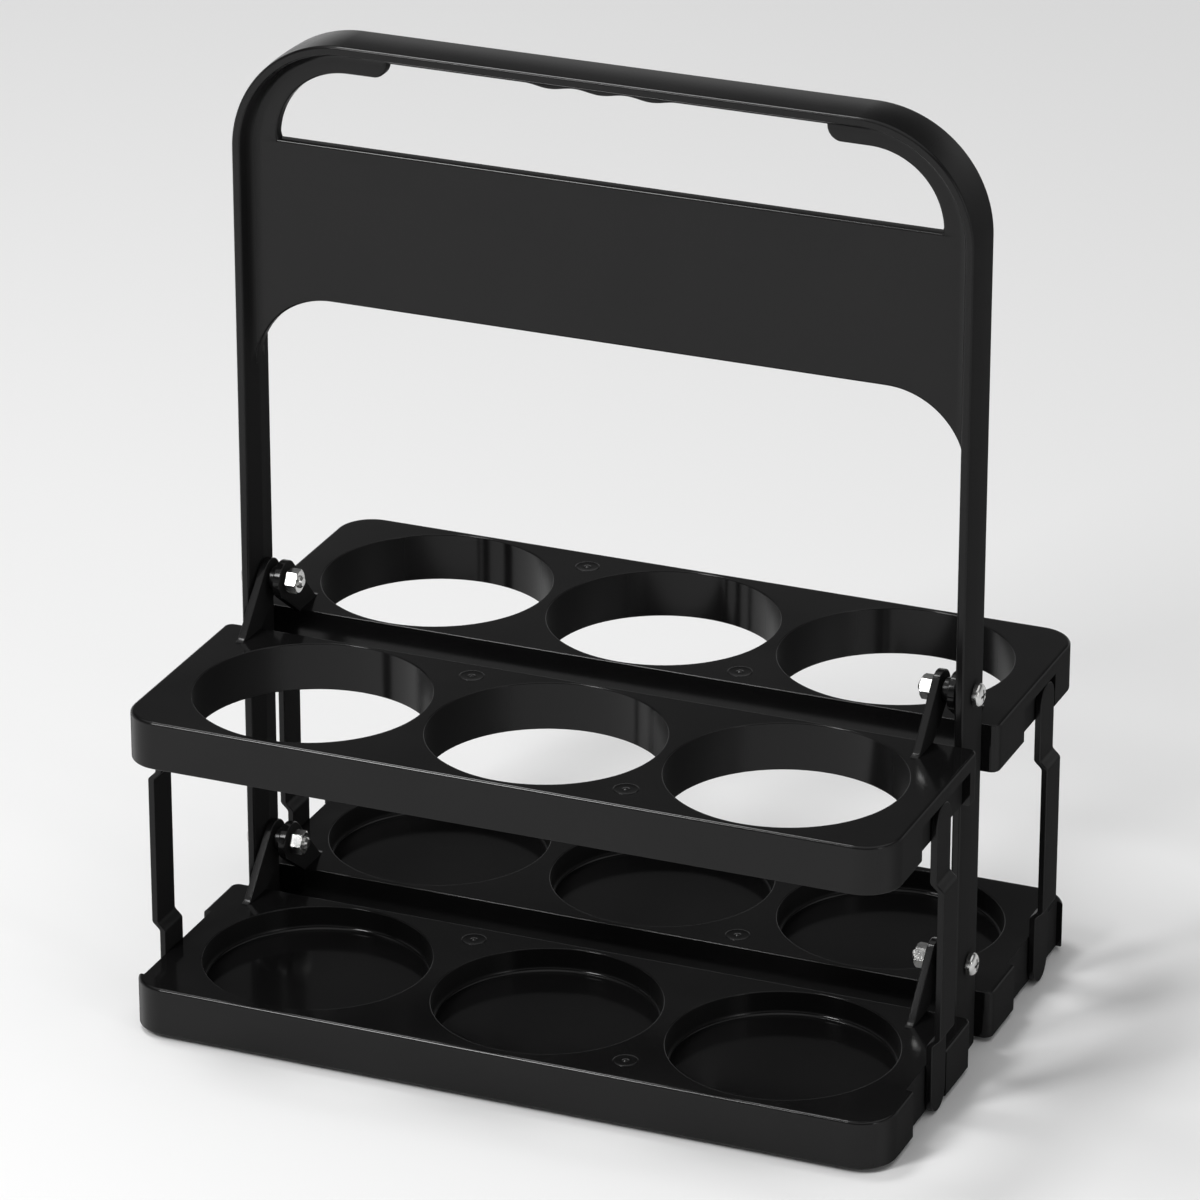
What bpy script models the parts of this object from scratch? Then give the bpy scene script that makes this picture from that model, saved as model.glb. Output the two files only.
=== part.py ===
"""Foldable drink holder: a moulded carrying frame with two tiers of swing-up trays.

Metres, +Z up.  The origin is on the ground, midway between the two posts.
The long side runs along X, and the front faces -Y.
"""
import math

import bmesh
import bpy
from mathutils import Matrix
from mathutils import Vector

MM = 0.001

# Carrying frame: two posts, the grip bar over them and the panel between
FRAME_WIDTH = 244.0 * MM
FRAME_DEPTH = 18.0 * MM
FRAME_HEIGHT = 308.0 * MM
FLANGE = 4.0 * MM
TOP_CORNER_R = 38.0 * MM
WEB = 4.0 * MM
PANEL_HEIGHT = 51.5 * MM
PANEL_FILLET_R = 26.0 * MM

# Hand hole, its corner webs and the finger waves under the grip
HAND_HOLE_HEIGHT = 31.5 * MM
HAND_SIDE_WEB = 8.6 * MM
TONGUE_DROP = 7.4 * MM
TONGUE_REACH = 50.2 * MM
TONGUE_ROUND_SHARE = 0.95
GRIP_WEB = 2.3 * MM
FINGER_DROP = 1.0 * MM
FINGER_PITCH = 16.7 * MM
FINGER_SHIFT = -1.5 * MM
FINGER_COUNT = 3

# Trays, which reach past the posts and have as many holes as fit
TRAY_OVERHANG = 5.0 * MM
TRAY_HEIGHT = 16.0 * MM
TRAY_TOP = 2.2 * MM
TRAY_WALL = 2.0 * MM
HOLE_D = 75.0 * MM
HOLE_PITCH = 79.0 * MM
HOLE_END_MARGIN = 8.0 * MM
INNER_RIM = 1.2 * MM
OUTER_RIM = 2.4 * MM
COLLAR_WALL = 2.3 * MM
OUTER_CORNER_R = 12.0 * MM
INNER_CORNER_R = 3.0 * MM
CUP_D = 73.0 * MM
CUP_DEPTH = 8.0 * MM
CUP_FLOOR = 2.0 * MM
TIER_SPACING = 92.0 * MM

# Arms that carry each tray on its hinge screws
AXIS_RISE = 14.0 * MM
ARM_THICKNESS = 2.6 * MM
ARM_EYE_R = 6.3 * MM
ARM_FOOT = 11.6 * MM
ARM_FOOT_FILLET_R = 5.0 * MM
ARM_SETBACK = 0.4 * MM

# Hinge screws, nuts and spacers
SCREW_D = 4.0 * MM
HEAD_D = 7.4 * MM
HEAD_H = 2.8 * MM
NUT_FLATS = 7.0 * MM
NUT_H = 4.0 * MM
SCREW_TAIL = 1.2 * MM
SPACER_D = 8.0 * MM
SPACER_LENGTH = 2.3 * MM

# Struts that join the two tiers at the tray ends
STRUT_WIDTH = 12.5 * MM
STRUT_THICKNESS = 2.2 * MM
STRUT_PIVOT_DROP = 11.2 * MM
STRUT_CRANK_START = 18.0 * MM
STRUT_CRANK_LENGTH = 3.5 * MM
NEAR_STRUT_Y = 39.0 * MM
FAR_STRUT_Y = 57.0 * MM
PIN_D = 5.0 * MM
PIN_TAIL = 0.8 * MM
UPPER_POCKET_REACH = 19.8 * MM
LOWER_POCKET_REACH = 26.0 * MM

# Running clearances
SEAT_GAP = 0.3 * MM
SWING_GAP = 0.4 * MM
OVERRUN = 1.0 * MM

# Steps round curves
HOLE_STEPS = 48
ROUND_STEPS = 24
CORNER_STEPS = 8
WAVE_STEPS = 12

# Places that follow from the sizes above
half_width = FRAME_WIDTH / 2
post_inside = half_width - FLANGE
half_depth = FRAME_DEPTH / 2
bar_underside = FRAME_HEIGHT - FLANGE
panel_top = bar_underside - HAND_HOLE_HEIGHT
panel_bottom = panel_top - PANEL_HEIGHT
strut_end_r = STRUT_WIDTH / 2
lower_tray_top = strut_end_r + STRUT_PIVOT_DROP
upper_tray_top = lower_tray_top + TIER_SPACING
lower_axis = lower_tray_top + AXIS_RISE
upper_axis = upper_tray_top + AXIS_RISE
tray_inside = half_depth + SEAT_GAP
hole_row = tray_inside + INNER_RIM + HOLE_D / 2
tray_outside = hole_row + HOLE_D / 2 + OUTER_RIM
tray_end = half_width + TRAY_OVERHANG
hole_count = int((2 * (tray_end - HOLE_END_MARGIN) - HOLE_D) / HOLE_PITCH) + 1
outer_arm = post_inside - SEAT_GAP - ARM_THICKNESS
spacer_start = outer_arm - SEAT_GAP - SPACER_LENGTH
inner_arm = spacer_start - SEAT_GAP - ARM_THICKNESS
nut_start = inner_arm - SEAT_GAP - NUT_H
strut_inner = tray_end - STRUT_THICKNESS
crank = STRUT_THICKNESS + SWING_GAP
crank_end = STRUT_CRANK_START + STRUT_CRANK_LENGTH
pocket_floor = strut_inner - SWING_GAP
pocket_back = pocket_floor - TRAY_WALL
swing_reach = math.hypot(crank_end, strut_end_r) + SWING_GAP
end_reach = strut_end_r + SWING_GAP

for old in list(bpy.data.objects):
    bpy.data.objects.remove(old, do_unlink=True)


def make_material(name, colour, roughness, metallic):
    material = bpy.data.materials.new(name)
    material.use_nodes = True
    shader = material.node_tree.nodes["Principled BSDF"]
    shader.inputs["Base Color"].default_value = (*colour, 1.0)
    shader.inputs["Roughness"].default_value = roughness
    shader.inputs["Metallic"].default_value = metallic
    return material


BLACK_PLASTIC = (0.018, 0.018, 0.019)
BRIGHT_STEEL = (0.62, 0.62, 0.60)
looks = {
    "frame": ("frame_plastic", BLACK_PLASTIC, 0.22, 0.0),
    "tray": ("tray_plastic", BLACK_PLASTIC, 0.20, 0.0),
    "strut": ("strut_plastic", BLACK_PLASTIC, 0.26, 0.0),
    "steel": ("zinc_plated_steel", BRIGHT_STEEL, 0.25, 1.0),
}


def link(name, mesh, look):
    thing = bpy.data.objects.new(name, mesh)
    bpy.context.collection.objects.link(thing)
    if look:
        mesh.materials.clear()
        mesh.materials.append(make_material(name + "_" + looks[look][0], *looks[look][1:]))
    return thing


def shade(mesh):
    mesh.shade_smooth()
    mesh.set_sharp_from_angle(angle=math.radians(32))


def prism(points, low, high, along):
    """A closed outline, extruded along X, Y or Z from low to high."""
    place = {
        "X": lambda u, v, w: (w, u, v),
        "Y": lambda u, v, w: (u, w, v),
        "Z": lambda u, v, w: (u, v, w),
    }[along]
    bm = bmesh.new()
    rim = [bm.verts.new(place(u, v, low)) for u, v in points]
    face = bm.faces.new(rim)
    grown = bmesh.ops.extrude_face_region(bm, geom=[face])
    far = [item for item in grown["geom"] if isinstance(item, bmesh.types.BMVert)]
    shift = Vector(place(0, 0, high - low))
    bmesh.ops.translate(bm, verts=far, vec=shift)
    bmesh.ops.recalc_face_normals(bm, faces=bm.faces)
    mesh = bpy.data.meshes.new("prism")
    bm.to_mesh(mesh)
    bm.free()
    return link("prism", mesh, None)


def box(x_low, x_high, y_low, y_high, z_low, z_high):
    outline = [(x_low, y_low), (x_high, y_low), (x_high, y_high), (x_low, y_high)]
    return prism(outline, z_low, z_high, "Z")


def arc(centre, radius, start, end, steps):
    """Points round part of a circle, with both ends, angles in degrees."""
    points = []
    for step in range(steps + 1):
        angle = math.radians(start + (end - start) * step / steps)
        points.append((centre[0] + radius * math.cos(angle), centre[1] + radius * math.sin(angle)))
    return points


def disc(centre, radius, steps):
    return arc(centre, radius, 0, 360, steps)[:-1]


def turned(name, profile, look, steps):
    """A solid of revolution about X from (x, radius) pairs with a centre at each end."""
    bm = bmesh.new()
    rings = []
    for x, radius in profile:
        if radius == 0:
            rings.append([bm.verts.new((x, 0, 0))])
            continue
        rings.append([bm.verts.new((x, v, w)) for v, w in disc((0, 0), radius, steps)])
    for first, second in zip(rings[:-1], rings[1:]):
        for step in range(steps):
            after = (step + 1) % steps
            if len(first) == 1:
                bm.faces.new((first[0], second[step], second[after]))
            elif len(second) == 1:
                bm.faces.new((first[step], first[after], second[0]))
            else:
                bm.faces.new((first[step], first[after], second[after], second[step]))
    bmesh.ops.recalc_face_normals(bm, faces=bm.faces)
    mesh = bpy.data.meshes.new(name)
    bm.to_mesh(mesh)
    bm.free()
    return link(name, mesh, look)


def combine(target, tools, operation):
    """Cuts or joins the tools, one after another, and leaves a plain mesh."""
    for tool in tools:
        tool.hide_render = True
        tool.display_type = "WIRE"
        step = target.modifiers.new("shape", "BOOLEAN")
        step.operation = operation
        step.solver = "EXACT"
        step.object = tool
    bpy.context.view_layer.update()
    graph = bpy.context.evaluated_depsgraph_get()
    mesh = bpy.data.meshes.new_from_object(target.evaluated_get(graph))
    target.modifiers.clear()
    target.data = mesh
    for tool in tools:
        bpy.data.objects.remove(tool, do_unlink=True)
    return target


def cut(target, *tools):
    return combine(target, tools, "DIFFERENCE")


def fuse(target, *tools):
    return combine(target, tools, "UNION")


def finish(thing, name, look):
    thing.name = name
    thing.data.name = name
    thing.data.materials.clear()
    thing.data.materials.append(make_material(name + "_" + looks[look][0], *looks[look][1:]))
    shade(thing.data)
    return thing


def place(source, name, look, location, half_turn):
    """A copy of a finished piece, turned half round the vertical where asked."""
    mesh = source.data.copy()
    thing = link(name, mesh, look)
    thing.location = location
    thing.rotation_euler = (0, 0, math.pi if half_turn else 0)
    shade(mesh)
    return thing


def arch(inset):
    """The frame's outline, up one post, over the grip and down the other."""
    side = half_width - inset
    top = FRAME_HEIGHT - inset
    radius = TOP_CORNER_R - inset
    right = arc((side - radius, top - radius), radius, 0, 90, 2 * CORNER_STEPS)
    left = arc((radius - side, top - radius), radius, 90, 180, 2 * CORNER_STEPS)
    return right + left


def finger_line(x, base):
    """Height of the grip web's lower edge, with its row of finger waves."""
    first = FINGER_SHIFT - FINGER_PITCH * FINGER_COUNT / 2
    last = FINGER_SHIFT + FINGER_PITCH * FINGER_COUNT / 2
    if x <= first or x >= last:
        return base
    phase = (x - first) / FINGER_PITCH
    return base - FINGER_DROP * (1 - math.cos(2 * math.pi * phase)) / 2


def hand_hole():
    """Quarter round from the panel up to the tongues, stepped there, waved under the grip."""
    side = post_inside - HAND_SIDE_WEB
    ceiling = bar_underside - TONGUE_DROP
    base = bar_underside - GRIP_WEB
    tongue = half_width - TONGUE_REACH
    corner_r = ceiling - panel_top
    end_r = TONGUE_ROUND_SHARE * (base - ceiling)
    right = arc((side - corner_r, panel_top), corner_r, 0, 90, 2 * CORNER_STEPS)
    right += arc((tongue + end_r, ceiling + end_r), end_r, 270, 180, CORNER_STEPS // 2)
    right.append((tongue, base))
    left = [(-x, z) for x, z in reversed(right)]
    first = FINGER_SHIFT - FINGER_PITCH * FINGER_COUNT / 2
    waves = []
    steps = FINGER_COUNT * WAVE_STEPS
    for step in range(steps + 1):
        x = first + FINGER_PITCH * FINGER_COUNT * step / steps
        waves.append((x, finger_line(x, base)))
    return right + waves[::-1] + left


def make_frame():
    outer = arch(0)
    inner = arch(FLANGE)
    outline = [(half_width, 0)] + outer + [(-half_width, 0), (-post_inside, 0)]
    outline += inner[::-1] + [(post_inside, 0)]
    frame = prism(outline, -half_depth, half_depth, "Y")

    buried = FLANGE / 2
    foot = panel_bottom - PANEL_FILLET_R
    reach = post_inside - PANEL_FILLET_R
    web_outline = [(half_width - buried, foot)] + arch(buried) + [(buried - half_width, foot)]
    web_outline += arc((-reach, foot), PANEL_FILLET_R, 180, 90, CORNER_STEPS)[1:]
    web_outline += arc((reach, foot), PANEL_FILLET_R, 90, 0, CORNER_STEPS)[:-1]
    web = prism(web_outline, -WEB / 2, WEB / 2, "Y")
    fuse(frame, web)
    cut(frame, prism(hand_hole(), -WEB, WEB, "Y"))

    bores = []
    for side in (-1, 1):
        for height in (lower_axis, upper_axis):
            low = min(side * (post_inside - OVERRUN), side * (half_width + OVERRUN))
            high = max(side * (post_inside - OVERRUN), side * (half_width + OVERRUN))
            ring = disc((0, height), SCREW_D / 2 + SEAT_GAP, ROUND_STEPS)
            bores.append(prism(ring, low, high, "X"))
    cut(frame, *bores)
    return finish(frame, "handle_frame", "frame")


def tray_outline(inset):
    """A front tray seen from above, tight corners by the posts, wide ones outside."""
    side = tray_end - inset
    back = -tray_inside - inset
    front = -tray_outside + inset
    tight = INNER_CORNER_R - inset / 2
    wide = OUTER_CORNER_R - inset
    points = arc((side - tight, back - tight), tight, 0, 90, CORNER_STEPS // 2)
    points += arc((tight - side, back - tight), tight, 90, 180, CORNER_STEPS // 2)
    points += arc((wide - side, front + wide), wide, 180, 270, CORNER_STEPS)
    points += arc((side - wide, front + wide), wide, 270, 360, CORNER_STEPS)
    return points


def hole_centres():
    first = -HOLE_PITCH * (hole_count - 1) / 2
    return [(first + HOLE_PITCH * number, -hole_row) for number in range(hole_count)]


def towards(start, end):
    span = Vector(end) - Vector(start)
    return span.normalized()


def touch_point(point, radius, side):
    """Where a line from the point touches the circle round the hinge axis."""
    distance = math.hypot(*point)
    bearing = math.atan2(point[1], point[0])
    spread = math.acos(radius / distance)
    angle = bearing + side * spread
    return radius * math.cos(angle), radius * math.sin(angle)


def fillet(corner, first, second, radius, steps):
    """A concave arc that joins two directions leaving a corner."""
    half = first.angle(second) / 2
    reach = radius / math.tan(half)
    middle = Vector(corner) + (first + second).normalized() * (radius / math.sin(half))
    start = Vector(corner) + first * reach - middle
    end = Vector(corner) + second * reach - middle
    sweep = start.angle_signed(end)
    points = []
    for step in range(steps + 1):
        spoke = Matrix.Rotation(-sweep * step / steps, 2) @ start
        points.append(tuple(middle + spoke))
    return points


def arm_outline():
    """An arm of a front tray in the YZ plane, the hinge axis at its centre."""
    deck = -AXIS_RISE
    inside = -(tray_inside + ARM_SETBACK)
    outside = inside - ARM_FOOT
    buried = deck - TRAY_TOP / 2
    outer_touch = touch_point((outside, deck), ARM_EYE_R, -1)
    inner_touch = touch_point((inside, deck), ARM_EYE_R, 1)
    along_deck = Vector((-1, 0))
    up_arm = towards((outside, deck), outer_touch)
    root = fillet((outside, deck), along_deck, up_arm, ARM_FOOT_FILLET_R, CORNER_STEPS // 2)
    start = math.degrees(math.atan2(outer_touch[1], outer_touch[0]))
    end = math.degrees(math.atan2(inner_touch[1], inner_touch[0]))
    while end > start:
        end -= 360
    eye = arc((0, 0), ARM_EYE_R, start, end, 2 * CORNER_STEPS)
    return [(root[0][0], buried)] + root + eye + [(inside, buried)]


def span(side, near, far):
    return min(side * near, side * far), max(side * near, side * far)


def make_tray(name, cups):
    """A front tray in its own frame, with its hinge axis along X through the origin."""
    deck = -AXIS_RISE
    bottom = deck - TRAY_HEIGHT
    tray = prism(tray_outline(0), bottom, deck, "Z")
    hollow = prism(tray_outline(TRAY_WALL), bottom - OVERRUN, deck - TRAY_TOP, "Z")

    pivot_z = deck - STRUT_PIVOT_DROP
    pockets = []
    backs = []
    pin_holes = []
    for side, pivot_y in ((1, NEAR_STRUT_Y), (-1, FAR_STRUT_Y)):
        if cups:
            inward = LOWER_POCKET_REACH if pivot_y == FAR_STRUT_Y else end_reach
            outward = swing_reach
            roof = deck + OVERRUN
        else:
            inward = swing_reach
            outward = UPPER_POCKET_REACH if pivot_y == NEAR_STRUT_Y else end_reach
            roof = pivot_z + end_reach
        y_low = -pivot_y - outward
        y_high = -pivot_y + inward
        x_low, x_high = span(side, pocket_floor, tray_end + OVERRUN)
        pockets.append(box(x_low, x_high, y_low, y_high, bottom - OVERRUN, roof))
        x_low, x_high = span(side, pocket_back, tray_end + OVERRUN)
        y_low -= TRAY_WALL
        y_high += TRAY_WALL
        backs.append(box(x_low, x_high, y_low, y_high, bottom - 2 * OVERRUN, deck))
        x_low, x_high = span(side, pocket_back - OVERRUN, pocket_floor + OVERRUN)
        ring = disc((-pivot_y, pivot_z), PIN_D / 2 + SEAT_GAP, ROUND_STEPS)
        pin_holes.append(prism(ring, x_low, x_high, "X"))

    walls = []
    openings = []
    for centre in hole_centres():
        if cups:
            floor = deck - CUP_DEPTH
            walls.append(prism(disc(centre, CUP_D / 2 + COLLAR_WALL, HOLE_STEPS), floor - CUP_FLOOR, deck, "Z"))
            openings.append(prism(disc(centre, CUP_D / 2, HOLE_STEPS), floor, deck + OVERRUN, "Z"))
        else:
            walls.append(prism(disc(centre, HOLE_D / 2 + COLLAR_WALL, HOLE_STEPS), bottom - 2 * OVERRUN, deck, "Z"))
            openings.append(prism(disc(centre, HOLE_D / 2, HOLE_STEPS), bottom - OVERRUN, deck + OVERRUN, "Z"))
    cut(hollow, *walls)
    cut(hollow, *backs)
    cut(tray, hollow)
    cut(tray, *openings)
    cut(tray, *pockets)
    cut(tray, *pin_holes)

    arms = []
    eyes = []
    for side, start in ((1, inner_arm), (-1, outer_arm)):
        x_low, x_high = span(side, start, start + ARM_THICKNESS)
        arms.append(prism(arm_outline(), x_low, x_high, "X"))
        x_low, x_high = span(side, start - OVERRUN, start + ARM_THICKNESS + OVERRUN)
        eyes.append(prism(disc((0, 0), SCREW_D / 2 + SEAT_GAP, ROUND_STEPS), x_low, x_high, "X"))
    fuse(tray, *arms)
    cut(tray, *eyes)
    return finish(tray, name, "tray")


def make_strut(name):
    """A right-hand strut, its upper pivot along X through the origin."""
    inside = strut_inner
    outside = inside + STRUT_THICKNESS
    start = STRUT_CRANK_START
    levels = [
        (strut_end_r + OVERRUN, 0),
        (-start, 0),
        (-crank_end, crank),
        (crank_end - TIER_SPACING, crank),
        (start - TIER_SPACING, 0),
        (-TIER_SPACING - strut_end_r - OVERRUN, 0),
    ]
    side_view = [(inside + step, z) for z, step in levels]
    side_view += [(outside + step, z) for z, step in reversed(levels)]
    strut = prism(side_view, -STRUT_WIDTH, STRUT_WIDTH, "Y")
    face_view = arc((0, 0), strut_end_r, 0, 180, 2 * CORNER_STEPS)
    face_view += arc((0, -TIER_SPACING), strut_end_r, 180, 360, 2 * CORNER_STEPS)
    blank = prism(face_view, inside - OVERRUN, outside + crank + OVERRUN, "X")
    combine(strut, [blank], "INTERSECT")
    buried = inside + STRUT_THICKNESS / 2
    tip = pocket_back - PIN_TAIL
    pins = []
    for height in (0, -TIER_SPACING):
        pins.append(prism(disc((0, height), PIN_D / 2, ROUND_STEPS), tip, buried, "X"))
    fuse(strut, *pins)
    return finish(strut, name, "strut")


def make_screw(name):
    """A pan head screw for the right post, its axis along X."""
    seat = half_width + SEAT_GAP
    head_r = HEAD_D / 2
    shank_r = SCREW_D / 2
    tip = nut_start - SCREW_TAIL
    point = shank_r / 3
    dome_shares = ((0.45, 1.0), (0.75, 0.93), (0.93, 0.74), (1.0, 0.45))
    profile = [(tip, 0), (tip, shank_r - point), (tip + point, shank_r), (seat, shank_r), (seat, head_r)]
    profile += [(seat + HEAD_H * rise, head_r * width) for rise, width in dome_shares]
    profile.append((seat + HEAD_H, 0))
    screw = turned(name, profile, "steel", ROUND_STEPS)
    shade(screw.data)
    return screw


def make_nut(name):
    corner_r = NUT_FLATS / 2 / math.cos(math.radians(30))
    nut = prism(disc((0, 0), corner_r, 6), nut_start, nut_start + NUT_H, "X")
    bore = disc((0, 0), SCREW_D / 2 + SEAT_GAP, ROUND_STEPS)
    cut(nut, prism(bore, nut_start - OVERRUN, nut_start + NUT_H + OVERRUN, "X"))
    return finish(nut, name, "steel")


def make_spacer(name):
    tube = prism(disc((0, 0), SPACER_D / 2, ROUND_STEPS), spacer_start, spacer_start + SPACER_LENGTH, "X")
    bore = disc((0, 0), SCREW_D / 2 + SEAT_GAP, ROUND_STEPS)
    cut(tube, prism(bore, spacer_start - OVERRUN, spacer_start + SPACER_LENGTH + OVERRUN, "X"))
    return finish(tube, name, "frame")


# The frame stands on its posts
make_frame()

# Trays: the back one of each tier is the front one turned half round
for tier, height, cups in (("upper", upper_axis, False), ("lower", lower_axis, True)):
    front = make_tray(tier + "_front_tray", cups)
    front.location = (0, 0, height)
    place(front, tier + "_back_tray", "tray", (0, 0, height), True)

# Struts: the near pivots are at the front right and back left
pivot_height = upper_tray_top - STRUT_PIVOT_DROP
front_right = make_strut("front_right_strut")
front_right.location = (0, -NEAR_STRUT_Y, pivot_height)
place(front_right, "back_right_strut", "strut", (0, FAR_STRUT_Y, pivot_height), False)
place(front_right, "front_left_strut", "strut", (0, -FAR_STRUT_Y, pivot_height), True)
place(front_right, "back_left_strut", "strut", (0, NEAR_STRUT_Y, pivot_height), True)

# Hinge hardware at the four corners
makers = (("screw", make_screw, "steel"), ("nut", make_nut, "steel"), ("spacer", make_spacer, "frame"))
for kind, maker, look in makers:
    first = maker("upper_right_" + kind)
    first.location = (0, 0, upper_axis)
    place(first, "upper_left_" + kind, look, (0, 0, upper_axis), True)
    place(first, "lower_right_" + kind, look, (0, 0, lower_axis), False)
    place(first, "lower_left_" + kind, look, (0, 0, lower_axis), True)
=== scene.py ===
import math

import bmesh
import bpy
from mathutils import Matrix
from mathutils import Vector
from mathutils.geometry import tessellate_polygon


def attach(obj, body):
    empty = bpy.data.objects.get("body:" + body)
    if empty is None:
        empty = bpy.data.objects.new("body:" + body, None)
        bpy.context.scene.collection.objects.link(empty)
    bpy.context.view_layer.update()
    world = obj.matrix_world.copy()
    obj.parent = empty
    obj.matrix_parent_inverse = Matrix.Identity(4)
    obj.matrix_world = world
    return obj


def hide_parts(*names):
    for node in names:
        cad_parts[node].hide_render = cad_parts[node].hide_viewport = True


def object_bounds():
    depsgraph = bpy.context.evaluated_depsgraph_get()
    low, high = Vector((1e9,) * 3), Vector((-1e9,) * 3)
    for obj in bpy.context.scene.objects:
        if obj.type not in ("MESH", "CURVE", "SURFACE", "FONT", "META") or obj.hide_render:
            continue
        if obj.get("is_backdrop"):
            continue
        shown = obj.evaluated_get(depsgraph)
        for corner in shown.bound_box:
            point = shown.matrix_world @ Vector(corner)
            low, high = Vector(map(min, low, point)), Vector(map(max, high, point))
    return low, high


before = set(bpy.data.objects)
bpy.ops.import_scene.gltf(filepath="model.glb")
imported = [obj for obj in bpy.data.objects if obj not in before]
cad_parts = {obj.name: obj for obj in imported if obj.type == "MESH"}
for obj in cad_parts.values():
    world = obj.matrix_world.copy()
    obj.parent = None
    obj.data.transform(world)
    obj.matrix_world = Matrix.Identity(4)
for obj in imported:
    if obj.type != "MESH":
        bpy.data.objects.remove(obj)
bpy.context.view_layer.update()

# %% [markdown]
# ## Sizes that every piece shares
# The lengths are those of the plain solids, in metres, so that each finer piece lies exactly where
# its solid is. The origin is on the ground between the two posts, X runs along the trays, and the
# front of the holder faces -Y.
# %% Shared sizes
MM = 0.001
HALF_WIDTH = 122.0 * MM
FRAME_HEIGHT = 308.0 * MM
FRAME_DEPTH = 18.0 * MM
FLANGE = 4.0 * MM
RIM_DRAFT = 0.8 * MM
TRAY_INSIDE = 9.3 * MM
TRAY_OUTSIDE = 87.9 * MM
TRAY_END = 127.0 * MM
AXIS_RISE = 14.0 * MM
TIER_SPACING = 92.0 * MM
LOWER_AXIS = 31.45 * MM
UPPER_AXIS = LOWER_AXIS + TIER_SPACING
SCREW_R = 2.0 * MM
SEAT_GAP = 0.3 * MM
OVERRUN = 1.0 * MM
BORE_STEPS = 48
post_inside = HALF_WIDTH - FLANGE
print("hinge axes at", [round(z / MM, 2) for z in (LOWER_AXIS, UPPER_AXIS)], "mm")

# %% [markdown]
# ## Moulded plastic as a shader
# Injection moulded plastic is nearly a mirror, but never a perfect one: the skin sinks a little
# where the part cools, so reflections swim, and the steel of the mould leaves a very fine grain.
# Faces that look along X come from the sides of the mould, which are polished less, so a second
# roughness takes over there. One node group makes all of this, and each material uses it with its
# own amounts and its own shader.
# %% Node group for a moulded skin
def add_socket(tree, name, kind, default=None, in_out="INPUT"):
    """A named input or output of a node group."""
    socket = tree.interface.new_socket(name=name, in_out=in_out, socket_type="NodeSocket" + kind)
    if default is not None:
        socket.default_value = default


def plug(tree, value, socket):
    """Links another node's output, or sets a plain value."""
    if isinstance(value, bpy.types.NodeSocket):
        tree.links.new(value, socket)
    else:
        socket.default_value = value


def add_node(tree, kind, **values):
    """A node. Lower case names are its properties, and capitalised ones are its inputs."""
    node = tree.nodes.new(kind)
    for name, value in values.items():
        if name[0].islower():
            setattr(node, name, value)
        else:
            plug(tree, value, node.inputs[name.replace("_", " ")])
    return node


def add_math(tree, operation, *values):
    """The result of a Math node whose inputs are sockets or plain numbers."""
    node = add_node(tree, "ShaderNodeMath", operation=operation)
    for value, socket in zip(values, node.inputs):
        plug(tree, value, socket)
    return node.outputs[0]


def add_noise(tree, vector, size, detail):
    """Noise whose grains are about one size across, in metres."""
    scale = add_math(tree, "DIVIDE", 1.0, size)
    node = add_node(tree, "ShaderNodeTexNoise", Vector=vector, Scale=scale, Detail=detail)
    return node.outputs["Fac"]


SKIN_AMOUNTS = {
    "Sink Size": 22 * MM,
    "Sink Depth": 0.03 * MM,
    "Grain Size": 0.7 * MM,
    "Grain Depth": 0.0006 * MM,
    "Roughness": 0.15,
    "End Roughness": 0.15,
    "Roughness Spread": 0.08,
}
HAZE_STRETCH = 1.7
skin = bpy.data.node_groups.new("moulded_skin", "ShaderNodeTree")
add_socket(skin, "Vector", "Vector")
add_socket(skin, "Facing", "Vector")
for name, amount in SKIN_AMOUNTS.items():
    add_socket(skin, name, "Float", amount)
for name in ("Roughness", "Height", "Haze"):
    add_socket(skin, name, "Float", in_out="OUTPUT")

given = skin.nodes.new("NodeGroupInput").outputs
result = skin.nodes.new("NodeGroupOutput").inputs
sink = add_noise(skin, given["Vector"], given["Sink Size"], 1.0)
grain = add_noise(skin, given["Vector"], given["Grain Size"], 2.0)
cloud_size = add_math(skin, "MULTIPLY", given["Sink Size"], HAZE_STRETCH)
haze = add_noise(skin, given["Vector"], cloud_size, 3.0)
deep = add_math(skin, "MULTIPLY", sink, given["Sink Depth"])
fine = add_math(skin, "MULTIPLY", grain, given["Grain Depth"])
spread = add_math(skin, "MULTIPLY", add_math(skin, "SUBTRACT", haze, 0.5), given["Roughness Spread"])
facing = add_node(skin, "ShaderNodeSeparateXYZ", Vector=given["Facing"])
square = add_math(skin, "MULTIPLY", facing.outputs["X"], facing.outputs["X"])
endwise = add_math(skin, "MULTIPLY", square, square)
gain = add_math(skin, "SUBTRACT", given["End Roughness"], given["Roughness"])
base = add_math(skin, "ADD", given["Roughness"], add_math(skin, "MULTIPLY", endwise, gain))
skin.links.new(add_math(skin, "ADD", base, spread), result["Roughness"])
skin.links.new(add_math(skin, "ADD", deep, fine), result["Height"])
skin.links.new(haze, result["Haze"])
print("node group", skin.name, "has", len(skin.nodes), "nodes")

# %% [markdown]
# ## The black plastics
# All mouldings are the same near-black, because carbon black swallows almost all light inside the
# plastic, and what shows is the reflection on top. The trays come out of the best polished mould,
# and the frame and the struts out of slightly duller ones. Two near-blacks are mixed by the haze
# mask, so that no face is one flat colour.
# %% Make the plastics
DARK = (0.0034, 0.0034, 0.0036, 1.0)
LIGHT = (0.0074, 0.0072, 0.0072, 1.0)
PLASTIC_SHEEN = 0.24


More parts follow.
